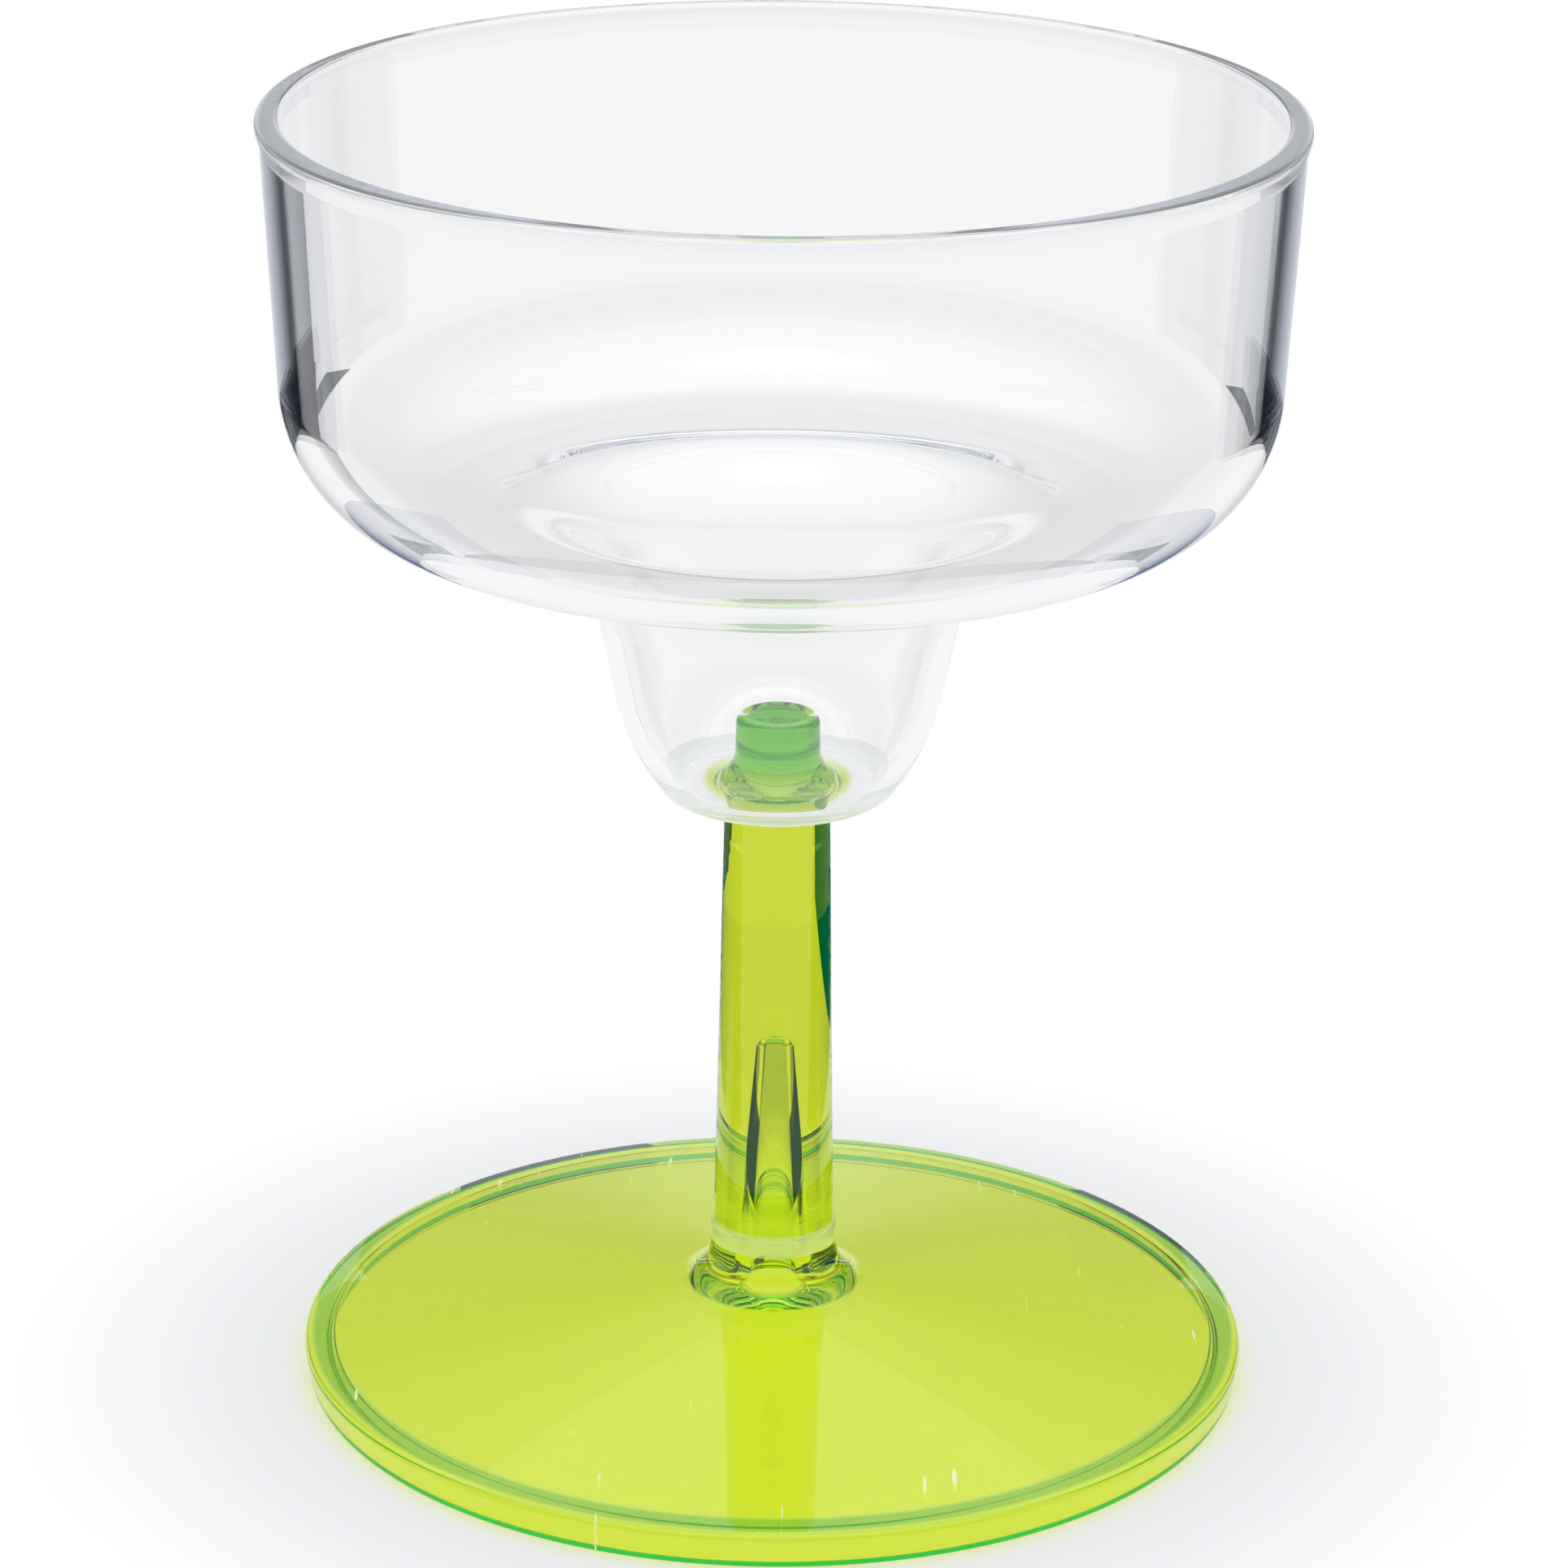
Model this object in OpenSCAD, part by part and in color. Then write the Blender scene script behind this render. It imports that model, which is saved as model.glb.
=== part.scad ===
// Margarita glass moulded in two pieces: a clear bowl with a narrow well under it, and a lime
// stem and foot whose round peg pushes up into a socket in the floor of the well.
// Millimetres. The foot stands on z = 0 and the shared axis of both mouldings is Z.

/* [Bowl] */
// Diameter over the bead at the rim
rim_d = 108; // [98:1:118]
// Height of the bowl from the flat under the well to the rim
bowl_h = 74.2; // [68:0.2:82]
// Thickness of the bowl wall
wall_t = 2.2; // [1.6:0.1:2.8]
// Draft of the bowl wall in degrees
wall_draft = 3.1; // [1:0.1:5]
// Outer radius of the knuckle where the wall turns into the floor
knuckle_r = 15.7; // [12:0.1:17]
// Slope of the floor down to the well in degrees
floor_slope = 4.5; // [3:0.5:6]
// Thickness of the floor
floor_t = 2.3; // [1.8:0.1:2.8]
// Diameter of the crease on the floor, where the mouth of the well begins
mouth_d = 61; // [57:0.5:65]
// Slope of the mouth at its crease in degrees
mouth_slope = 15; // [12:0.5:17]
// Radius that blends the mouth into the inside of the well
mouth_r = 14; // [10:0.5:15]

/* [Rim bead] */
// Height of the bead
bead_h = 2.8; // [2.6:0.1:3.4]
// How far the bead stands out from the wall
bead_proud = 0.3; // [0.1:0.05:0.6]
// Radius on the two top edges of the bead
bead_round = 0.85; // [0.5:0.05:1]
// Height over which the bead runs back into the wall
bead_run = 1.6; // [1.2:0.1:1.8]
// Radius that eases both ends of that run
bead_ease = 2; // [1:0.5:3]

/* [Well] */
// Outer diameter of the well where it leaves the floor
well_d = 42.1; // [39:0.1:45]
// Height of the well from the flat under it to the floor
well_h = 29.4; // [27:0.2:32]
// Taper of the well's side in degrees
well_taper = 11.7; // [8:0.1:14]
// Diameter of the flat under the well, before its corner is rounded
well_base_d = 23.6; // [21:0.2:25]
// Slope of the turned-in lower side of the well in degrees
well_turn = 54; // [50:1:60]
// Radius that blends the side of the well into its turned-in part
well_blend_r = 26; // [18:1:28]
// Radius round the flat under the well
well_base_r = 3; // [2:0.1:4]
// Radius under the floor where the well leaves it
well_root_r = 12.5; // [8:0.5:14]
// Thickness of the well's side
well_t = 1.8; // [1.4:0.1:2.2]
// Thickness of the well's bottom
base_t = 1.8; // [1.4:0.1:2.4]

/* [Peg and socket] */
// Diameter of the peg on top of the stem
peg_d = 6.5; // [5.5:0.1:7.5]
// Height of the peg above the stem's shoulder
peg_h = 7.8; // [6.5:0.1:9]
// Radius round the top of the peg
peg_round = 0.8; // [0.3:0.1:1.2]
// Gap all round between the peg and its socket
fit_gap = 0.05; // [0.02:0.01:0.1]
// Gap between the top of the peg and the end of the socket
end_gap = 0.4; // [0.2:0.1:0.8]
// Width and height of the lead-in at the socket's mouth
lead_in = 0.4; // [0.2:0.05:0.6]
// Thickness of the socket's wall at its top
socket_t = 1.15; // [0.9:0.05:1.6]
// Thickness of the cap that closes the socket
cap_t = 1.2; // [0.9:0.1:1.8]
// Draft of the socket's outside in degrees
socket_draft = 1.5; // [0.5:0.1:3]
// Radius round the top of the socket
socket_round = 1.1; // [0.5:0.1:1.5]
// Radius where the socket stands on the bottom of the well
socket_root_r = 3.4; // [2:0.1:4]

/* [Stem] */
// Height of the stem's shoulder above the table
stem_h = 65.8; // [58:0.2:74]
// Diameter of the stem at its shoulder
stem_top_d = 11.2; // [10:0.1:12.4]
// Taper of the stem's side in degrees
stem_taper = 1.1; // [0.5:0.1:1.6]
// Radius round the shoulder
shoulder_round = 0.3; // [0.1:0.05:0.6]
// Distance from the shoulder to the first fine ring round the stem
ring_drop = 4.4; // [3:0.1:5]
// Distance between the two fine rings
ring_pitch = 4; // [2.5:0.1:6]
// Width of each fine ring
ring_w = 0.5; // [0.4:0.05:0.8]
// Depth of each fine ring
ring_depth = 0.05; // [0.03:0.01:0.12]
// Height of the collar's top above the table
collar_z = 16.2; // [15:0.1:18]
// How far the collar stands out from the stem
collar_proud = 0.3; // [0.2:0.1:0.8]
// Radius on the collar's top edge
collar_round = 0.2; // [0.1:0.05:0.3]
// Radius of the flare from the collar down to the foot
flare_r = 4.3; // [3:0.1:5]

/* [Foot] */
// Diameter of the foot
foot_d = 103; // [94:1:112]
// Height of the foot's outer edge
edge_h = 3.7; // [3.2:0.1:4.6]
// Draft of the outer edge and of the inner side of the standing ring in degrees
edge_draft = 8; // [2:1:12]
// Radius on the top corner of the edge
edge_round = 0.9; // [0.4:0.1:1.2]
// Width of the land round the foot, and of the standing ring under it
land_w = 3.1; // [2.4:0.1:4]
// Slope of the land in degrees
land_slope = 11; // [8:0.5:14]
// Slope of the foot from the land up to the stem in degrees
foot_slope = 7.6; // [6:0.1:9]
// Thickness of the foot's shell
foot_t = 2; // [1.6:0.1:2.4]
// Radius on the corners of the standing ring
ring_round = 0.4; // [0.2:0.1:0.7]

/* [Core up the stem] */
// Height of the core's closed end above the table
core_h = 38.5; // [34:0.1:44]
// Diameter of the core at its closed end
core_end_d = 2.3; // [1.8:0.1:3]
// Draft of the core's side in degrees
core_draft = 2.9; // [2:0.1:3.5]
// Radius at the mouth of the core under the foot
core_mouth_r = 3; // [2:0.1:4]

/* [Hidden] */

// The closed end of the core is rounded over this share of its radius
core_round_share = 0.9;
// Largest turn between two neighbouring points of a round stretch, in degrees
arc_step = 5;
// Sides of a full circle where it is drawn as a mesh
circle_sides = 180;

// Headings of a line in a section, in degrees: radius runs to the right and height upwards
up = 90;
inwards = 180;
down = 270;

// Heights and radii that both pieces share
glass_h = stem_h + bowl_h;
peg_top_z = stem_h + peg_h;
peg_r = peg_d / 2;

// A line is [a point on it, its heading], and the solid lies to its right
function toward(a) = [cos(a), sin(a)];
function unit(v) = v / norm(v);
function inset(line, d) = [line[0] + d * toward(line[1] - 90), line[1]];
function meet(m, n) =
    m[0] + toward(m[1]) * cross(n[0] - m[0], toward(n[1])) / cross(toward(m[1]), toward(n[1]));
function at_z(line, z) = meet(line, [[0, z], inwards]);
function at_r(line, r) = meet(line, [[r, 0], up]);

// A corner is [radius, height, radius of its round], and a section is a closed list of corners
function corner(p, r = 0) = [p[0], p[1], r];
function spot(path, i) = let (c = path[i % len(path)]) [c[0], c[1]];
function side(path, i) = spot(path, i + 1) - spot(path, i);
function before(path, i) = i + len(path) - 1;
function half_angle(path, i) = acos(-unit(side(path, before(path, i))) * unit(side(path, i))) / 2;

// How far along its sides the round of a corner reaches, and the share of it that a side has room for
function reach(path, i) = path[i % len(path)][2] / tan(half_angle(path, i));
function room_share(path, i) = min(1, norm(side(path, i)) / (reach(path, i) + reach(path, i + 1)));
function round_at(path, i) = path[i][2] * min(room_share(path, i), room_share(path, before(path, i)));

function arc(centre, r, from, turn) =
    let (steps = ceil(abs(turn) / arc_step))
    [for (k = [0 : steps]) centre + r * toward(from + turn * k / steps)];
function rounded_corner(path, i) =
    let (
        back = -unit(side(path, before(path, i))),
        ahead = unit(side(path, i)),
        half = half_angle(path, i),
        r = round_at(path, i),
        to_centre = unit(back + ahead) * r / sin(half),
        first = back * r / tan(half) - to_centre,
        turn = (180 - 2 * half) * sign(cross(-back, ahead))
    )
    arc(spot(path, i) + to_centre, r, atan2(first[1], first[0]), turn);
function rounded(path) = [
    for (i = [0 : len(path) - 1])
        each (path[i][2] > 0 ? rounded_corner(path, i) : [spot(path, i)])
];

module turned(section) {
    rotate_extrude($fn = circle_sides)
        polygon(rounded(section));
}

// Bowl: straight stretches of its outside, from the rim down to the flat under the well
rim_r = rim_d / 2;
wall_out = [[rim_r - bead_proud, glass_h], down - wall_draft];
floor_out = [[well_d / 2, stem_h + well_h], inwards + floor_slope];
well_out = [[well_d / 2, stem_h + well_h], down - well_taper];
turn_out = [[well_base_d / 2, stem_h], inwards + well_turn];
base_out = [[0, stem_h], inwards];

// The same stretches of its inside, a wall's thickness in
wall_in = inset(wall_out, wall_t);
floor_in = inset(floor_out, floor_t);
well_in = inset(well_out, well_t);
turn_in = inset(turn_out, well_t);
base_in = inset(base_out, base_t);

// The mouth of the well is a wide shallow funnel inside a crease on the floor
mouth_edge = at_r(floor_in, mouth_d / 2);
mouth_in = [mouth_edge, inwards + mouth_slope];

// Socket that stands on the bottom of the well and takes the peg
bore_r = peg_r + fit_gap;
bore_end_z = peg_top_z + end_gap;
cap_z = bore_end_z + cap_t;
socket_top_r = bore_r + socket_t;
socket_out = [[socket_top_r, cap_z], down + socket_draft];

bowl_outside = [
    corner([rim_r, glass_h], bead_round),
    corner([rim_r, glass_h - bead_h + bead_run], bead_ease),
    corner(at_z(wall_out, glass_h - bead_h), bead_ease),
    corner(meet(wall_out, floor_out), knuckle_r),
    corner(meet(floor_out, well_out), well_root_r),
    corner(meet(well_out, turn_out), well_blend_r),
    corner(meet(turn_out, base_out), well_base_r)
];
bowl_socket = [
    corner([bore_r + lead_in, stem_h]),
    corner([bore_r, stem_h + lead_in]),
    corner([bore_r, bore_end_z]),
    corner([0, bore_end_z]),
    corner([0, cap_z]),
    corner([socket_top_r, cap_z], socket_round),
    corner(meet(socket_out, base_in), socket_root_r)
];
bowl_inside = [
    corner(meet(base_in, turn_in), well_base_r),
    corner(meet(turn_in, well_in), well_blend_r - well_t),
    corner(meet(well_in, mouth_in), mouth_r),
    corner(mouth_edge),
    corner(meet(floor_in, wall_in), knuckle_r - wall_t),
    corner(at_z(wall_in, glass_h), bead_round)
];

module bowl() {
    color([0.93, 0.95, 0.97, 0.4])
        turned(concat(bowl_outside, bowl_socket, bowl_inside));
}

// Stem and foot: straight stretches of their outside, from the shoulder down to the table
foot_r = foot_d / 2;
land_r = foot_r - land_w;
stem_out = [[stem_top_d / 2, stem_h], down + stem_taper];
collar_r = at_z(stem_out, collar_z)[0] + collar_proud;
land_out = [[foot_r, edge_h], -land_slope];
crease = at_r(land_out, land_r);
foot_out = [crease, -foot_slope];
edge_out = [[foot_r, edge_h], down - edge_draft];

// The hollow under the foot, and the core that runs on from it up the stem
skirt_in = [[land_r, 0], up + edge_draft];
shell_in = inset(foot_out, foot_t);
core_side = [[core_end_d / 2, core_h], down + core_draft];

// A fine ring is a shallow groove with two sloping sides
function fine_ring(z) = [
    corner(at_z(stem_out, z + ring_w / 2)),
    corner(at_z(inset(stem_out, ring_depth), z)),
    corner(at_z(stem_out, z - ring_w / 2))
];

peg = [
    corner([0, peg_top_z]),
    corner([peg_r, peg_top_z], peg_round),
    corner([peg_r, stem_h])
];
stem_side = concat(
    [corner([stem_top_d / 2, stem_h], shoulder_round)],
    fine_ring(stem_h - ring_drop),
    fine_ring(stem_h - ring_drop - ring_pitch),
    [corner(at_z(stem_out, collar_z)), corner([collar_r, collar_z], collar_round)]
);
foot_top = [
    corner(at_r(foot_out, collar_r), flare_r),
    corner(crease),
    corner([foot_r, edge_h], edge_round),
    corner(at_z(edge_out, 0), ring_round)
];
hollow = [
    corner([land_r, 0], ring_round),
    corner(meet(skirt_in, shell_in), ring_round),
    corner(meet(shell_in, core_side), core_mouth_r),
    corner([core_end_d / 2, core_h], core_round_share * core_end_d / 2),
    corner([0, core_h])
];

module stem_foot() {
    color([0.78, 0.87, 0.24, 0.85])
        turned(concat(peg, stem_side, foot_top, hollow));
}

bowl();
stem_foot();
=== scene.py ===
# Margarita glass on a white sweep: a clear bowl pegged onto a lime stem and foot.
# Sizes are written in millimetres and angles in degrees, and the scene is in metres.
from math import ceil, cos, degrees, pi, radians, sin, tan

import bpy
from mathutils import Matrix, Vector


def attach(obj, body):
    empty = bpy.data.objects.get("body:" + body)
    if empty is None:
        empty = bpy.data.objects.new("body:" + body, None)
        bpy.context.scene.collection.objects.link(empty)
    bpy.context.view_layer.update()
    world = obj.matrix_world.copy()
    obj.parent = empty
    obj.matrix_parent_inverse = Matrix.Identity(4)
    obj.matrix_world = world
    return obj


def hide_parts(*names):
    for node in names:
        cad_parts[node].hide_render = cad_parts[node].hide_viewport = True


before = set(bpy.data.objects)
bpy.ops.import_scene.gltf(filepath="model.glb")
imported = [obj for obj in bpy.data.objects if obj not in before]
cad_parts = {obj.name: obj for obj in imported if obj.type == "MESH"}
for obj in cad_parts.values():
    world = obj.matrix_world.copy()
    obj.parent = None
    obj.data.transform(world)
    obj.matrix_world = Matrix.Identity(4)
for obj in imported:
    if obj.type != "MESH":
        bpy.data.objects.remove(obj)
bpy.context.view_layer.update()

# The bowl is the clear cup, injection moulded in one shot of crystal polystyrene. A bead
# stiffens its rim, and a narrow well hangs under its floor. Its blind socket, a boss on the
# bottom of the well, is pushed down over the stem's peg.
MM = 0.001
RIM_D, BOWL_H, STEM_H = 108, 74.2, 65.8
BOWL_WALL, WALL_DRAFT, KNUCKLE_R = 2.2, 3.1, 15.7
FLOOR_SLOPE, FLOOR_T = 4.5, 2.3
MOUTH_D, MOUTH_SLOPE, MOUTH_R = 61, 15, 14
BEAD_H, BEAD_PROUD, BEAD_ROUND, BEAD_RUN, BEAD_EASE = 2.8, 0.3, 0.85, 1.6, 2
WELL_D, WELL_H, WELL_TAPER, WELL_T = 42.1, 29.4, 11.7, 1.8
WELL_BASE_D, WELL_TURN, WELL_BLEND_R = 23.6, 54, 26
WELL_BASE_R, WELL_ROOT_R, BASE_T = 3, 12.5, 1.8
PEG_D, PEG_H, FIT_GAP, END_GAP, LEAD_IN = 6.5, 7.8, 0.05, 0.4, 0.4
SOCKET_T, CAP_T, SOCKET_DRAFT, SOCKET_ROUND, SOCKET_ROOT_R = 1.15, 1.2, 1.5, 1.1, 3.4
UP, INWARDS, DOWN = 90, 180, 270
ARC_STEP, SMOOTH_UNDER = 4, 30
TURN_STEPS = 256
WELD = 0.002


def toward(angle):
    return Vector((cos(radians(angle)), sin(radians(angle))))


def line(r, z, heading):
    return Vector((r, z)), heading


def inset(drawn, depth):
    """The line drawn again, deeper in the solid, which lies to the right of its heading."""
    return drawn[0] + depth * toward(drawn[1] - 90), drawn[1]


def meet(one, two):
    ahead, other = toward(one[1]), toward(two[1])
    between = two[0] - one[0]
    return one[0] + ahead * (between.cross(other) / ahead.cross(other))


def at_height(drawn, z):
    return meet(drawn, line(0, z, INWARDS))


def at_radius(drawn, r):
    return meet(drawn, line(r, 0, UP))


def corner(place, fillet=0):
    return Vector(place), fillet


def half_angle(path, i):
    """Half the angle between the two sides that meet in corner i of an open path."""
    back, ahead = path[i - 1][0] - path[i][0], path[i + 1][0] - path[i][0]
    return back.angle(ahead) / 2


def fillet_at(path, i):
    """The corner's own radius, or less where a side is too short for both of its rounds."""
    if not 0 < i < len(path) - 1 or not path[i][1]:
        return 0
    room = 1
    for near in (i - 1, i + 1):
        reach = path[i][1] / tan(half_angle(path, i))
        if 0 < near < len(path) - 1 and path[near][1]:
            reach += path[near][1] / tan(half_angle(path, near))
        room = min(room, (path[near][0] - path[i][0]).length / reach)
    return path[i][1] * room


def draw_section(name, path):
    """Draws an open line through the corners in the XZ plane, with an arc at each round."""
    bpy.ops.object.select_all(action="DESELECT")
    bpy.ops.mesh.primitive_plane_add(size=MM)
    piece = bpy.context.object
    piece.name = piece.data.name = name
    bpy.ops.object.mode_set(mode="EDIT")
    bpy.ops.mesh.merge(type="CENTER")
    here = path[0][0]
    bpy.ops.transform.translate(value=(here.x * MM, 0, here.y * MM))
    for i in range(1, len(path)):
        place, fillet = path[i][0], fillet_at(path, i)
        back = (path[i - 1][0] - place).normalized()
        half = half_angle(path, i) if fillet else 0
        start = place + back * (fillet / tan(half) if fillet else 0)
        if (start - here).length > 1e-6:
            step = start - here
            bpy.ops.mesh.extrude_region_move(
                TRANSFORM_OT_translate={"value": (step.x * MM, 0, step.y * MM)}
            )
        here = start
        if fillet:
            ahead = (path[i + 1][0] - place).normalized()
            centre = place + (back + ahead).normalized() * fillet / sin(half)
            turn = pi - 2 * half
            leftwards = (-back).cross(ahead) > 0
            bpy.ops.mesh.spin(
                steps=max(2, ceil(degrees(turn) / ARC_STEP)),
                angle=turn if leftwards else -turn,
                center=(centre.x * MM, 0, centre.y * MM),
                axis=(0, 1, 0),
            )
            here = place + ahead * fillet / tan(half)
    return piece


def turn_solid(piece):
    """Spins the section round the glass's axis and closes the seam and the poles."""
    bpy.ops.mesh.select_all(action="SELECT")
    bpy.ops.mesh.spin(
        steps=TURN_STEPS, angle=2 * pi, center=(0, 0, 0), axis=(0, 0, 1)
    )
    bpy.ops.mesh.select_all(action="SELECT")
    bpy.ops.mesh.remove_doubles(threshold=WELD * MM)
    bpy.ops.mesh.normals_make_consistent(inside=False)
    bpy.ops.object.mode_set(mode="OBJECT")
    bpy.ops.object.shade_smooth_by_angle(angle=radians(SMOOTH_UNDER))
    bpy.ops.object.modifier_add(type="WEIGHTED_NORMAL")
    piece.modifiers[-1].keep_sharp = True
    bpy.ops.object.modifier_apply(modifier=piece.modifiers[-1].name)


def linear(hex_colour):
    """An sRGB hex colour as linear red, green, blue and alpha."""
    parts = [int(hex_colour[i : i + 2], 16) / 255 for i in (1, 3, 5)]
    return [c / 12.92 if c <= 0.04045 else ((c + 0.055) / 1.055) ** 2.4 for c in parts] + [1]


def add_node(tree, kind, inputs=None, **settings):
    """Adds a node with its settings, and links or sets its inputs.

    A node among the inputs stands for its first output, and anything else that isn't a
    socket is the value of the input.
    """
    node = tree.nodes.new("ShaderNode" + kind)
    for name, value in settings.items():
        if hasattr(node, name):
            setattr(node, name, value)
        else:
            node.inputs[name.replace("_", " ")].default_value = value
    for name, source in (inputs or {}).items():
        if isinstance(source, bpy.types.Node):
            source = source.outputs[0]
        if isinstance(source, bpy.types.NodeSocket):
            tree.links.new(source, node.inputs[name])
        else:
            node.inputs[name].default_value = source
    return node


def set_stops(ramp, stops):
    """Gives a colour ramp its stops, each of them a position and a linear colour."""
    while len(ramp.elements) < len(stops):
        ramp.elements.new(0.5)
    for element, (position, colour) in zip(ramp.elements, stops):
        element.position = position
        element.color = colour


def new_material(name):
    made = bpy.data.materials.new(name)
    made.use_nodes = True
    made.node_tree.nodes.clear()
    return made


def find_spot(tree):
    """Where a spot on the glass lies: its place, its height and its distance from the axis."""
    place = add_node(tree, "TexCoord").outputs["Object"]
    spot = add_node(tree, "SeparateXYZ", {0: place})
    flat = add_node(tree, "CombineXYZ", {"X": spot.outputs["X"], "Y": spot.outputs["Y"]})
    radius = add_node(tree, "VectorMath", {0: flat}, operation="LENGTH")
    return place, spot.outputs["Z"], radius.outputs["Value"]


def lets_lamps_through(tree, glass, tint, contact):
    """Glass that rays on their way to a lamp cross unbent, as all rays do at a contact."""
    ray = add_node(tree, "LightPath")
    lamp = add_node(
        tree,
        "Math",
        {0: ray.outputs["Is Shadow Ray"], 1: ray.outputs["Is Diffuse Ray"]},
        operation="MAXIMUM",
    )
    unbent = add_node(tree, "Math", {0: lamp, 1: contact}, operation="MAXIMUM")
    through = add_node(tree, "BsdfTransparent", {"Color": tint})
    return add_node(tree, "MixShader", {0: unbent, 1: glass, 2: through})


glass_h = STEM_H + BOWL_H
wall_out = line(RIM_D / 2 - BEAD_PROUD, glass_h, DOWN - WALL_DRAFT)
floor_out = line(WELL_D / 2, STEM_H + WELL_H, INWARDS + FLOOR_SLOPE)
well_out = line(WELL_D / 2, STEM_H + WELL_H, DOWN - WELL_TAPER)
turn_out = line(WELL_BASE_D / 2, STEM_H, INWARDS + WELL_TURN)
base_out = line(0, STEM_H, INWARDS)
wall_in = inset(wall_out, BOWL_WALL)
floor_in = inset(floor_out, FLOOR_T)
well_in = inset(well_out, WELL_T)
turn_in = inset(turn_out, WELL_T)
base_in = inset(base_out, BASE_T)
mouth_edge = at_radius(floor_in, MOUTH_D / 2)
mouth_in = (mouth_edge, INWARDS + MOUTH_SLOPE)
bore_r = PEG_D / 2 + FIT_GAP
bore_end_z = STEM_H + PEG_H + END_GAP
cap_z = bore_end_z + CAP_T
socket_out = line(bore_r + SOCKET_T, cap_z, DOWN + SOCKET_DRAFT)
bowl = draw_section(
    "bowl_clear",
    [
        corner((0, cap_z)),
        corner(socket_out[0], SOCKET_ROUND),
        corner(meet(socket_out, base_in), SOCKET_ROOT_R),
        corner(meet(base_in, turn_in), WELL_BASE_R),
        corner(meet(turn_in, well_in), WELL_BLEND_R - WELL_T),
        corner(meet(well_in, mouth_in), MOUTH_R),
        corner(mouth_edge),
        corner(meet(floor_in, wall_in), KNUCKLE_R - BOWL_WALL),
        corner(at_height(wall_in, glass_h), BEAD_ROUND),
        corner((RIM_D / 2, glass_h), BEAD_ROUND),
        corner((RIM_D / 2, glass_h - BEAD_H + BEAD_RUN), BEAD_EASE),
        corner(at_height(wall_out, glass_h - BEAD_H), BEAD_EASE),
        corner(meet(wall_out, floor_out), KNUCKLE_R),
        corner(meet(floor_out, well_out), WELL_ROOT_R),
        corner(meet(well_out, turn_out), WELL_BLEND_R),
        corner(meet(turn_out, base_out), WELL_BASE_R),
        corner((bore_r + LEAD_IN, STEM_H)),
        corner((bore_r, STEM_H + LEAD_IN)),
        corner((bore_r, bore_end_z)),
        corner((0, bore_end_z)),
    ],
)
turn_solid(bowl)

# Crystal polystyrene straight from a polished mould: water clear with a faint cool cast.
# Round the socket, the stem's lime light seen through the bottom is painted into the colour
# as rings of painted lime glow, with a small milky share. A milky white share on the lip and
# on the bottom's edge, lit by the lamps, paints their highlights. On the contact with the
# stem, light goes from plastic to plastic.
PLASTIC_IOR = 1.59
# Painted lime glow round the socket: how far its rings reach and how milky they are
STEM_LIGHT_REACH, CLEAR_FROM, CLEAR_TO, STEM_LIGHT_CLARITY = 10, 0.6, 0.84, 0.98
PAINTED_STEM_LIGHT_RINGS = [(0.46, "#F2F8E8"), (0.54, "#CCE67C"), (0.74, "#D2EC48"), (0.85, "#FFFFFF")]
# A milky white share on the lip and on the bottom's edge, lit by the lamps, paints their
# highlights
LIP_LOW, LIP_HIGH, LIP_CLARITY = glass_h - 1.8, glass_h - 0.5, 0.72
BOTTOM_HIGH, BOTTOM_IN_R, BOTTOM_CLARITY = STEM_H + 2.4, 11, 0.3
CONTACT_R, CONTACT_LEAN, CONTACT_SLACK = 5.4, 0.25, 0.05
clear_plastic = new_material("crystal_polystyrene_moulded")
tree = clear_plastic.node_tree
_, height, radius = find_spot(tree)
# Rings of painted lime glow: the stem's light seen through the bottom, painted into the colour
outwards = add_node(tree, "MapRange", {0: radius}, From_Min=0.0, From_Max=STEM_LIGHT_REACH * MM)
stem_light_painted = add_node(tree, "ValToRGB", {0: outwards})
set_stops(stem_light_painted.color_ramp, [(at, linear(colour)) for at, colour in PAINTED_STEM_LIGHT_RINGS])
clarity = add_node(
    tree,
    "MapRange",
    {0: outwards},
    From_Min=CLEAR_FROM,
    From_Max=CLEAR_TO,
    To_Min=STEM_LIGHT_CLARITY,
    To_Max=1.0,
)
# Painted highlight on the lip: a milky white share over its top
lip = add_node(
    tree,
    "MapRange",
    {0: height},
    From_Min=LIP_LOW * MM,
    From_Max=LIP_HIGH * MM,
    To_Min=1.0,
    To_Max=LIP_CLARITY,
)
# Painted highlight on the bottom's edge: a milky white share there
low = add_node(tree, "Math", {0: height, 1: BOTTOM_HIGH * MM}, operation="LESS_THAN")
beyond = add_node(tree, "Math", {0: radius, 1: BOTTOM_IN_R * MM}, operation="GREATER_THAN")
bottom_edge = add_node(tree, "Math", {0: low, 1: beyond}, operation="MULTIPLY")
bottom = add_node(tree, "MapRange", {0: bottom_edge}, To_Min=1.0, To_Max=BOTTOM_CLARITY)
painted_highlight_milkiness = add_node(tree, "Math", {0: lip, 1: bottom}, operation="MULTIPLY")
through = add_node(tree, "Math", {0: clarity, 1: painted_highlight_milkiness}, operation="MULTIPLY")
clear = add_node(
    tree,
    "BsdfPrincipled",
    {"Base Color": stem_light_painted, "Transmission Weight": through},
    Roughness=0.0,
    IOR=PLASTIC_IOR,
)
cone = add_node(tree, "Math", {0: height, 1: CONTACT_LEAN, 2: radius}, operation="MULTIPLY_ADD")
cone_end = (CONTACT_R + CONTACT_LEAN * STEM_H) * MM
in_cone = add_node(tree, "Math", {0: cone, 1: cone_end}, operation="LESS_THAN")
socket_end = (bore_end_z + CONTACT_SLACK) * MM
in_socket = add_node(tree, "Math", {0: height, 1: socket_end}, operation="LESS_THAN")
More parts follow.
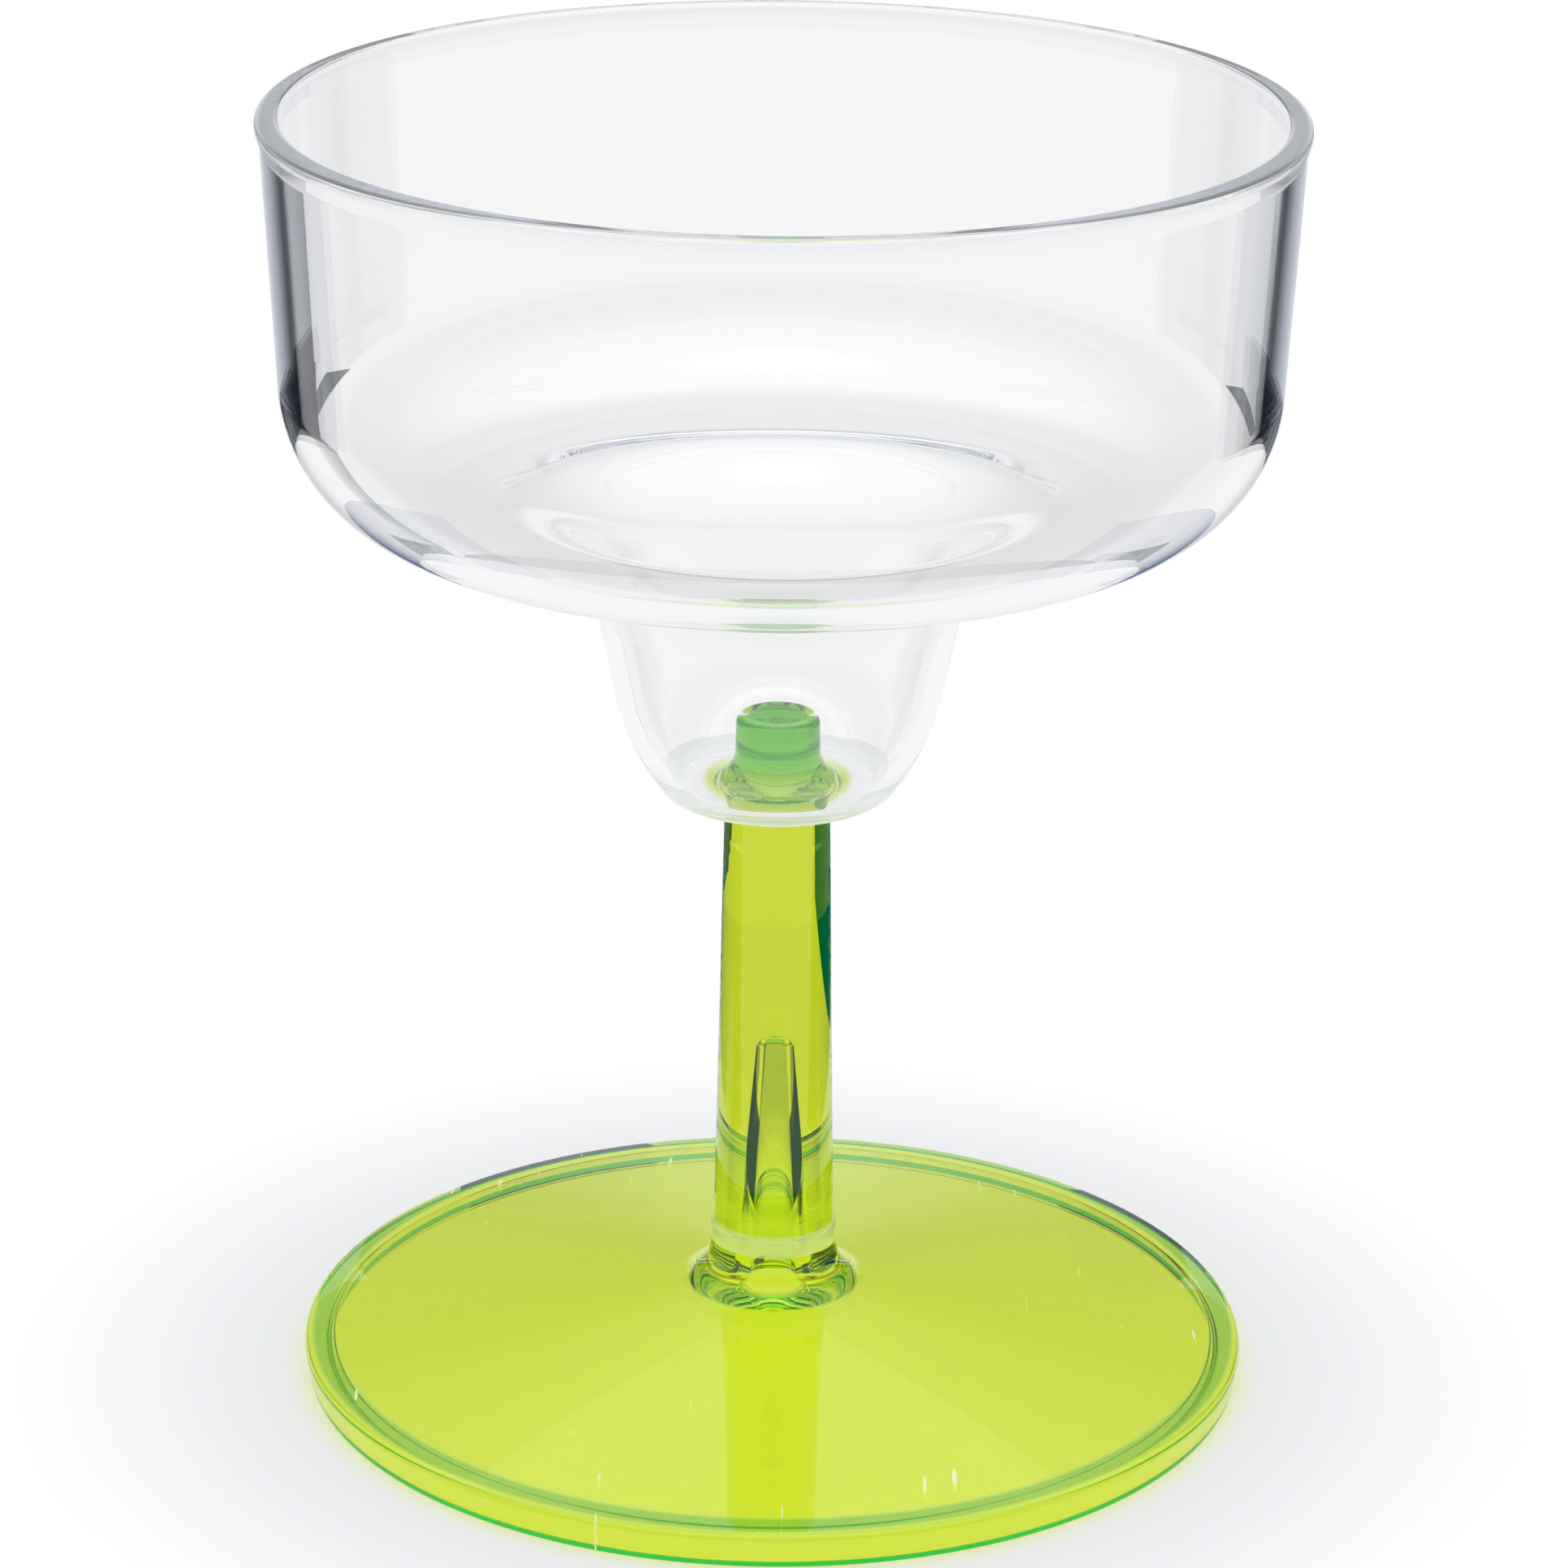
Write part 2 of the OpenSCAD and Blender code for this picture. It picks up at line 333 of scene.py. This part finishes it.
touching = add_node(tree, "Math", {0: in_cone, 1: in_socket}, operation="MULTIPLY")
look = lets_lamps_through(tree, clear, linear("#F8F9FB"), touching)
tint = add_node(tree, "VolumeAbsorption", Color=linear("#E4E9F2"), Density=9.0)
add_node(tree, "OutputMaterial", {"Surface": look, "Volume": tint})
bowl.data.materials.append(clear_plastic)
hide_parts("bowl")
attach(bowl, "bowl")

# The stem and foot are one shot of translucent lime polystyrene. A round peg on the stem's
# shoulder holds the bowl, and the mould's core leaves a hollow up the stem and a ring under
# the foot's edge, on which the glass stands.
PEG_ROUND, STEM_TOP_D, STEM_TAPER, SHOULDER_ROUND = 0.8, 11.2, 1.1, 0.3
RING_DROP, RING_PITCH, RING_W, RING_DEPTH = 4.4, 4, 0.5, 0.05
COLLAR_Z, COLLAR_PROUD, COLLAR_ROUND, FLARE_R = 16.2, 0.3, 0.2, 4.3
FOOT_D, EDGE_H, EDGE_DRAFT, EDGE_ROUND = 103, 3.7, 8, 0.9
LAND_W, LAND_SLOPE, FOOT_SLOPE, FOOT_T, RING_ROUND = 3.1, 11, 7.6, 2, 0.4
CORE_H, CORE_END_D, CORE_DRAFT, CORE_MOUTH_R = 38.5, 2.3, 2.9, 3
stem_out = line(STEM_TOP_D / 2, STEM_H, DOWN + STEM_TAPER)
collar_r = at_height(stem_out, COLLAR_Z).x + COLLAR_PROUD
land_out = line(FOOT_D / 2, EDGE_H, -LAND_SLOPE)
crease = at_radius(land_out, FOOT_D / 2 - LAND_W)
foot_out = (crease, -FOOT_SLOPE)
edge_out = line(FOOT_D / 2, EDGE_H, DOWN - EDGE_DRAFT)
skirt_in = line(crease.x, 0, UP + EDGE_DRAFT)
shell_in = inset(foot_out, FOOT_T)
core_side = line(CORE_END_D / 2, CORE_H, DOWN + CORE_DRAFT)
fine_rings = []
for ring_z in (STEM_H - RING_DROP, STEM_H - RING_DROP - RING_PITCH):
    fine_rings += [
        corner(at_height(stem_out, ring_z + RING_W / 2)),
        corner(at_height(inset(stem_out, RING_DEPTH), ring_z)),
        corner(at_height(stem_out, ring_z - RING_W / 2)),
    ]
stem_foot = draw_section(
    "stem_foot_lime",
    [
        corner((0, STEM_H + PEG_H)),
        corner((PEG_D / 2, STEM_H + PEG_H), PEG_ROUND),
        corner((PEG_D / 2, STEM_H)),
        corner(stem_out[0], SHOULDER_ROUND),
        *fine_rings,
        corner(at_height(stem_out, COLLAR_Z)),
        corner((collar_r, COLLAR_Z), COLLAR_ROUND),
        corner(at_radius(foot_out, collar_r), FLARE_R),
        corner(crease),
        corner(land_out[0], EDGE_ROUND),
        corner(at_height(edge_out, 0), RING_ROUND),
        corner(skirt_in[0], RING_ROUND),
        corner(meet(skirt_in, shell_in), RING_ROUND),
        corner(meet(shell_in, core_side), CORE_MOUTH_R),
        corner(core_side[0], 0.9 * CORE_END_D / 2),
        corner((0, CORE_H)),
    ],
)
turn_solid(stem_foot)

# Lime polystyrene, polished like its mould: the dye takes the blue light at once and the red
# light slowly, so the eye sees yellow-green, deeper up the stem and green in the peg. Near the
# foot's edge, pale lines of painted highlight and a mint band of painted refraction follow the
# line; the ring the foot stands on is painted dark green, a painted contact shade; a pale
# painted glow with a milky share rings the stem's collar; and a few scratches lie on the foot.
# Near the foot's edge: pale lines of painted highlight and a mint band of painted refraction
BODY, PAINTED_EDGE_HIGHLIGHT, PAINTED_EDGE_REFRACTION = "#F5FE7C", "#DAFCF9", "#7CC4AA"
BANDS_IN, BANDS_OUT, BANDS_HIGH, BANDS_LOW = 47, 52, EDGE_H + 1.5, EDGE_H - 0.8
PAINTED_EDGE_LIGHT = [(0.18, BODY), (0.25, PAINTED_EDGE_HIGHLIGHT), (0.35, PAINTED_EDGE_REFRACTION), (0.66, PAINTED_EDGE_REFRACTION), (0.76, PAINTED_EDGE_HIGHLIGHT), (0.86, BODY)]
DEEP, DEEP_FROM, DEEP_TO = "#D7E155", 20, 32
# Painted contact shade: the ring the foot stands on, painted dark green
PAINTED_CONTACT_SHADE, CONTACT_SHADE_IN, CONTACT_SHADE_HIGH = "#00AD61", FOOT_D / 2 - 1.6, 0.75
# Painted glow round the stem's collar: a pale colour with a milky share, standing in for its
# glints
PAINTED_COLLAR_GLOW, COLLAR_GLOW_LOW, COLLAR_GLOW_HIGH, COLLAR_GLOW_R = "#F3FDCE", COLLAR_Z - 1.9, COLLAR_Z + 0.5, 8
COLLAR_GLOW_CLARITY, SCRATCH_CLARITY = 0.55, 0.4
SCRATCH, SCRATCH_TURN, SCRATCHES_PER_MM, SCRATCH_SHORTENING = "#FFFFF3", 35, 0.9, 0.12
SCRATCH_FAINT, SCRATCH_FULL = 0.74, 0.77
PEG_FROM, PEG_FOOT, PEG_LOW, PEG_HIGH = STEM_H - 0.01, "#F9FD6C", STEM_H + 0.8, STEM_H + 2.6
PEG_TOP, LAMPLIGHT = "#ADEB59", "#F9FDE1"
lime_plastic = new_material("lime_polystyrene_moulded")
tree = lime_plastic.node_tree
place, height, radius = find_spot(tree)
# Painted highlight and refraction bands near the foot's edge, on its top only
outwards = add_node(
    tree, "MapRange", {0: radius}, From_Min=BANDS_IN * MM, From_Max=BANDS_OUT * MM
)
painted_edge_light_ramp = add_node(tree, "ValToRGB", {0: outwards})
set_stops(painted_edge_light_ramp.color_ramp, [(at, linear(colour)) for at, colour in PAINTED_EDGE_LIGHT])
up_stem = add_node(
    tree,
    "MapRange",
    {0: height},
    interpolation_type="SMOOTHSTEP",
    From_Min=DEEP_FROM * MM,
    From_Max=DEEP_TO * MM,
)
deepened = add_node(tree, "MixRGB", {0: up_stem, 1: linear(BODY), 2: linear(DEEP)})
on_foot = add_node(tree, "Math", {0: height, 1: BANDS_HIGH * MM}, operation="LESS_THAN")
edge_light_painted = add_node(tree, "MixRGB", {0: on_foot, 1: deepened, 2: painted_edge_light_ramp})
on_skirt = add_node(tree, "Math", {0: height, 1: BANDS_LOW * MM}, operation="LESS_THAN")
skirted = add_node(tree, "MixRGB", {0: on_skirt, 1: edge_light_painted, 2: linear(BODY)})
# Painted contact shade on the lowest ring of the foot's edge
outside = add_node(tree, "Math", {0: radius, 1: CONTACT_SHADE_IN * MM}, operation="GREATER_THAN")
lowest = add_node(tree, "Math", {0: height, 1: CONTACT_SHADE_HIGH * MM}, operation="LESS_THAN")
contact_shade_mask = add_node(tree, "Math", {0: outside, 1: lowest}, operation="MULTIPLY")
contact_shaded = add_node(tree, "MixRGB", {0: contact_shade_mask, 1: skirted, 2: linear(PAINTED_CONTACT_SHADE)})
# Painted glow on the stem round the collar, pale and partly milky
under_collar = add_node(tree, "Math", {0: height, 1: COLLAR_GLOW_HIGH * MM}, operation="LESS_THAN")
over_flare = add_node(tree, "Math", {0: height, 1: COLLAR_GLOW_LOW * MM}, operation="GREATER_THAN")
at_stem = add_node(tree, "Math", {0: radius, 1: COLLAR_GLOW_R * MM}, operation="LESS_THAN")
stem_low = add_node(tree, "Math", {0: under_collar, 1: at_stem}, operation="MULTIPLY")
collar = add_node(tree, "Math", {0: stem_low, 1: over_flare}, operation="MULTIPLY")
collar_glow_painted = add_node(tree, "MixRGB", {0: collar, 1: contact_shaded, 2: linear(PAINTED_COLLAR_GLOW)})
collar_clarity = add_node(tree, "MapRange", {0: collar}, To_Min=1.0, To_Max=COLLAR_GLOW_CLARITY)
drawn_out = add_node(
    tree,
    "Mapping",
    {"Vector": place, "Rotation": (0, 0, radians(SCRATCH_TURN))},
    Scale=(1 / MM, SCRATCH_SHORTENING / MM, 1),
)
grain = add_node(tree, "TexNoise", {"Vector": drawn_out}, Scale=SCRATCHES_PER_MM, Detail=1.0)
peaks = add_node(tree, "MapRange", {0: grain}, From_Min=SCRATCH_FAINT, From_Max=SCRATCH_FULL)
scratch = add_node(tree, "Math", {0: peaks, 1: on_foot}, operation="MULTIPLY")
scratched = add_node(tree, "MixRGB", {0: scratch, 1: collar_glow_painted, 2: linear(SCRATCH)})
scratch_clarity = add_node(tree, "MapRange", {0: scratch}, To_Min=1.0, To_Max=SCRATCH_CLARITY)
through = add_node(tree, "Math", {0: collar_clarity, 1: scratch_clarity}, operation="MULTIPLY")
lime = add_node(
    tree,
    "BsdfPrincipled",
    {"Base Color": scratched, "Transmission Weight": through},
    Roughness=0.0,
    IOR=PLASTIC_IOR,
)
in_bowl = add_node(tree, "Math", {0: height, 1: PEG_FROM * MM}, operation="GREATER_THAN")
up_peg = add_node(tree, "MapRange", {0: height}, From_Min=PEG_LOW * MM, From_Max=PEG_HIGH * MM)
peg_stain = add_node(tree, "MixRGB", {0: up_peg, 1: linear(PEG_FOOT), 2: linear(PEG_TOP)})
stain = add_node(tree, "MixRGB", {0: in_bowl, 1: linear(LAMPLIGHT), 2: peg_stain})
look = lets_lamps_through(tree, lime, stain, in_bowl)
dye = add_node(tree, "VolumeAbsorption", Color=linear("#FCFE00"), Density=240.0)
add_node(tree, "OutputMaterial", {"Surface": look, "Volume": dye})
stem_foot.data.materials.append(lime_plastic)
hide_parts("stem_foot")
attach(stem_foot, "stem_foot")

# A sheet of white paper for the glass to stand on. What the camera sees of it fades to
# plain white a hand's width from the foot, and the glass's shadow stays.
FLOOR_W, FLOOR_CUTS, SEEN_IN_GLASS = 6000, 4, 0.92
FADE_FROM, FADE_TO = 52, 88
bpy.ops.object.select_all(action="DESELECT")
bpy.ops.mesh.primitive_plane_add(size=FLOOR_W * MM)
floor = bpy.context.object
floor.name = "paper_floor"
bpy.ops.object.mode_set(mode="EDIT")
bpy.ops.mesh.subdivide(number_cuts=FLOOR_CUTS)
bpy.ops.object.mode_set(mode="OBJECT")
paper = new_material("matt_white_paper")
tree = paper.node_tree
sheet = add_node(tree, "BsdfDiffuse", Color=linear("#F4F4F4"))
ray = add_node(tree, "LightPath")
to_camera = ray.outputs["Is Camera Ray"]
level = add_node(tree, "MapRange", {0: to_camera}, To_Min=SEEN_IN_GLASS, To_Max=1.0)
white = add_node(tree, "Emission", {"Strength": level})
place = add_node(tree, "TexCoord").outputs["Object"]
away = add_node(tree, "VectorMath", {0: place}, operation="LENGTH")
fade = add_node(
    tree,
    "MapRange",
    {0: away.outputs["Value"]},
    interpolation_type="SMOOTHSTEP",
    From_Min=FADE_FROM * MM,
    From_Max=FADE_TO * MM,
)
by_glass = add_node(
    tree,
    "Math",
    {0: ray.outputs["Is Glossy Ray"], 1: ray.outputs["Is Transmission Ray"]},
    operation="MAXIMUM",
)
direct = add_node(tree, "Math", {0: to_camera, 1: by_glass}, operation="MAXIMUM")
seen = add_node(tree, "Math", {0: direct, 1: fade}, operation="MULTIPLY")
look = add_node(tree, "MixShader", {0: seen, 1: sheet, 2: white})
add_node(tree, "OutputMaterial", {"Surface": look})
floor.data.materials.append(paper)

# Soft studio light: pale walls, a dim upper room, and a large soft light overhead whose
# edge fades out. The number pairs are the sine of the height above the horizon and a level.
ROOM = [
    (0, 0.86), (0.1, 0.8), (0.25, 0.36), (0.45, 0.36),
    (0.62, 0.7), (0.8, 1.3), (0.95, 1.4), (1, 2.0),
]
ROOM_CAST = (0.98, 0.99, 1.03)
world = bpy.data.worlds.new("studio_surround")
bpy.context.scene.world = world
world.use_nodes = True
tree = world.node_tree
tree.nodes.clear()
ray = add_node(tree, "LightPath")
facing = add_node(tree, "TexCoord").outputs["Generated"]
height = add_node(tree, "SeparateXYZ", {0: facing}).outputs["Z"]
level = add_node(tree, "ValToRGB", {0: height})
level.color_ramp.interpolation = "EASE"
set_stops(level.color_ramp, [(at, [c * bright for c in ROOM_CAST] + [1]) for at, bright in ROOM])
around = add_node(tree, "Background", {"Color": level}, Strength=1.0)
behind = add_node(tree, "Background", Color=linear("#FFFFFF"), Strength=1.0)
look = add_node(tree, "MixShader", {0: ray.outputs["Is Camera Ray"], 1: around, 2: behind})
add_node(tree, "OutputWorld", {"Surface": look})

# Cards round the glass, all of them out of the picture, of plain coloured paper. Only the
# glass sees them: they draw the dark streaks down the sides of the bowl, the strips down
# the stem and the outline of its core, and keep the bowl's underside pale.
CARD_LIFT, RING_SIDES = 0.2, 64


def only_in_glass(name, colour, rays):
    """A plain glow for rays that came straight, in the sheen, or by mirroring inside."""
    made = new_material(name)
    tree = made.node_tree
    ray = add_node(tree, "LightPath")
    stuff = colour(tree) if callable(colour) else linear(colour)
    glow = add_node(tree, "Emission", {"Color": stuff}, Strength=1.0)
    clear_air = add_node(tree, "BsdfTransparent")
    depth, crossed = ray.outputs["Glossy Depth"], ray.outputs["Transmission Depth"]
    straight = add_node(tree, "Math", {0: depth, 1: 0.5}, operation="LESS_THAN")
    outer = add_node(tree, "Math", {0: crossed, 1: 0.5}, operation="LESS_THAN")
    mirrored = add_node(tree, "Math", {0: 1.0, 1: straight}, operation="SUBTRACT")
    sheen = add_node(tree, "Math", {0: mirrored, 1: outer}, operation="MULTIPLY")
    inner = add_node(tree, "Math", {0: mirrored, 1: sheen}, operation="SUBTRACT")
    kinds = {"straight": straight, "mirrored": mirrored, "sheen": sheen, "inner": inner}
    look = add_node(tree, "MixShader", {0: kinds[rays], 1: clear_air, 2: glow})
    add_node(tree, "OutputMaterial", {"Surface": look})
    return made


def across(axis, start, end, stops):
    """A colour ramp along X or Z, in mm from the glass's foot."""

    def build(tree):
        place = add_node(tree, "TexCoord").outputs["Object"]
        side = add_node(tree, "SeparateXYZ", {0: place}).outputs[axis]
        reach = add_node(tree, "Math", {0: side}, operation="ABSOLUTE")
        along = add_node(tree, "MapRange", {0: reach}, From_Min=start * MM, From_Max=end * MM)
        fold = add_node(tree, "ValToRGB", {0: along})
        set_stops(fold.color_ramp, [(at, linear(colour)) for at, colour in stops])
        return fold

    return build


GREYS = [
    (0, "#DCE3F0"), (0.1, "#BFC5D1"), (0.205, "#AFB4BF"), (0.275, "#A6ABB5"),
    (0.36, "#989DA6"), (0.425, "#888D95"), (0.48, "#575A60"), (0.525, "#37393D"),
    (0.61, "#2F3134"), (0.66, "#91969F"), (0.725, "#A2A7B1"), (1, "#A0A5AF"),
]
BLACKS = [(0.3, "#007359"), (0.45, "#191D22")]
grey_card = only_in_glass("grey_card_in_mirrors", across("X", 100, 300, GREYS), "mirrored")
black_card = only_in_glass("black_card_straight", across("Z", 0, 100, BLACKS), "straight")
green_card = only_in_glass("green_card_in_mirrors", "#00401C", "inner")
white_card = only_in_glass("white_card_in_mirrors", "#F8F9FA", "mirrored")
stem_card = only_in_glass("green_card_straight", "#004018", "straight")
core_card = only_in_glass("white_card_in_core", "#F5F5F5", "inner")
back_card = only_in_glass("white_card_straight", "#F5F5F5", "straight")
sheen_card = only_in_glass("green_cloth_in_sheen", "#004489", "sheen")
low_card = only_in_glass("black_card_in_mirrors", "#1C2029", "mirrored")
far_card = only_in_glass("far_black_card_straight", "#10121A", "straight")


def put_on_stage(card, stuff):
    card.visible_camera = card.visible_diffuse = card.visible_shadow = False
    card.data.materials.append(stuff)


def raise_strip(name, corners, steps, stuff):
    """A strip from a line of corners on the table, drawn out by each step in turn."""
    bpy.ops.object.select_all(action="DESELECT")
    bpy.ops.mesh.primitive_plane_add(size=MM)
    strip = bpy.context.object
    strip.name = name
    bpy.ops.object.mode_set(mode="EDIT")
    bpy.ops.mesh.merge(type="CENTER")
    bpy.ops.transform.translate(value=(corners[0][0] * MM, corners[0][1] * MM, CARD_LIFT * MM))
    for here, there in zip(corners, corners[1:]):
        step = Vector(there) - Vector(here)
        bpy.ops.mesh.extrude_region_move(
            TRANSFORM_OT_translate={"value": (step.x * MM, step.y * MM, 0)}
        )
    bpy.ops.mesh.select_all(action="SELECT")
    for step in steps:
        bpy.ops.mesh.extrude_region_move(TRANSFORM_OT_translate={"value": Vector(step) * MM})
    bpy.ops.object.mode_set(mode="OBJECT")
    put_on_stage(strip, stuff)


def arc_line(centre, distance, near_angle, far_angle, steps=6):
    """Corners along an arc on the table, with its angles counted from the back."""
    ends = []
    for k in range(steps + 1):
        angle = radians(near_angle + k / steps * (far_angle - near_angle))
        ends.append((centre[0] + distance * sin(angle), centre[1] + distance * cos(angle)))
    return ends


def lay_ring(name, inner_r, outer_r, z, stuff):
    """A flat ring round the glass's axis."""
    bpy.ops.object.select_all(action="DESELECT")
    bpy.ops.mesh.primitive_circle_add(
        vertices=RING_SIDES, radius=outer_r * MM, location=(0, 0, z * MM)
    )
    ring = bpy.context.object
    bpy.ops.object.transform_apply(location=True)
    ring.name = name
    bpy.ops.object.mode_set(mode="EDIT")
    bpy.ops.mesh.extrude_region_move()
    bpy.ops.transform.resize(value=(inner_r / outer_r, inner_r / outer_r, 1))
    bpy.ops.object.mode_set(mode="OBJECT")
    put_on_stage(ring, stuff)


# Each card's name, its line of corners on the table, how it is drawn out, and its stuff
raise_strip("grey_card_left", arc_line((-49, -20), 300, -9, -60, 10), [(0, 0, 104)], grey_card)
raise_strip("grey_card_right", arc_line((49, -20), 300, 9, 60, 10), [(0, 0, 104)], grey_card)
raise_strip("black_card_left", [(-79, -60), (-79, 102)], [(0, 0, 104), (0, -25, 12)], black_card)
raise_strip("black_card_right", [(180, -60), (180, 330)], [(0, 0, 42)], black_card)
raise_strip("green_card_by_stem", [(120, -45), (120, 88)], [(0, 0, 30)], stem_card)
raise_strip("legs_card_left", [(-14, 36), (-14, 100)], [(-90, 0, 0)], green_card)
raise_strip("legs_card_right", [(34, 16), (34, 100)], [(70, 0, 0)], green_card)
raise_strip("core_card_left", [(-55, -60), (-55, 32)], [(-65, 0, 0)], core_card)
raise_strip("core_card_right", [(54, -60), (54, 12)], [(60, 0, 0)], core_card)
raise_strip("white_card_behind_foot", [(-50, 64), (50, 64)], [(0, 36, 0)], back_card)
raise_strip("green_cloth_left", arc_line((0, 0), 186, -14, -100, 8), [(110, 0, 0)], sheen_card)
raise_strip("green_cloth_right", arc_line((0, 0), 186, 14, 100, 8), [(-110, 0, 0)], sheen_card)
raise_strip("low_card_left", arc_line((-49, -20), 296, -14, -50), [(0, 0, 28)], low_card)
raise_strip("low_card_right", arc_line((49, -20), 296, 14, 50), [(0, 0, 28)], low_card)
raise_strip("far_cloth_left", [(-176, 300), (-138, 380)], [(26, 0, 0)], far_card)
raise_strip("far_cloth_right", [(182, 300), (148, 372)], [(-26, 0, 0)], far_card)
lay_ring("white_card_under_bowl", 6, 56, 64, white_card)
lay_ring("green_card_round_foot", 53, 97, 0.4, green_card)

# The camera stands where the photograph's rim and foot ellipses put it
LENS, SENSOR = 129.78, 36
CAMERA_Y, CAMERA_Z, PITCH, YAW, ROLL = -566.6, 271.2, 19.846, 0.069, 0.568
bpy.ops.object.camera_add(location=(0, CAMERA_Y * MM, CAMERA_Z * MM))
camera = bpy.context.object
camera.data.lens, camera.data.sensor_width = LENS, SENSOR
camera.matrix_world = (
    Matrix.Translation((0, CAMERA_Y * MM, CAMERA_Z * MM))
    @ Matrix.Rotation(radians(-YAW), 4, "Z")
    @ Matrix.Rotation(radians(90 - PITCH), 4, "X")
    @ Matrix.Rotation(radians(ROLL), 4, "Z")
)
bpy.context.scene.camera = camera
bpy.context.scene.view_settings.view_transform = "Standard"

# Light goes to and fro in the thick clear walls many times before it comes out
MOST_BOUNCES, MOST_OF_A_KIND = 64, 56
cycles = bpy.context.scene.cycles
cycles.max_bounces = MOST_BOUNCES
cycles.glossy_bounces = MOST_OF_A_KIND
cycles.transmission_bounces = MOST_OF_A_KIND
cycles.transparent_max_bounces = MOST_OF_A_KIND
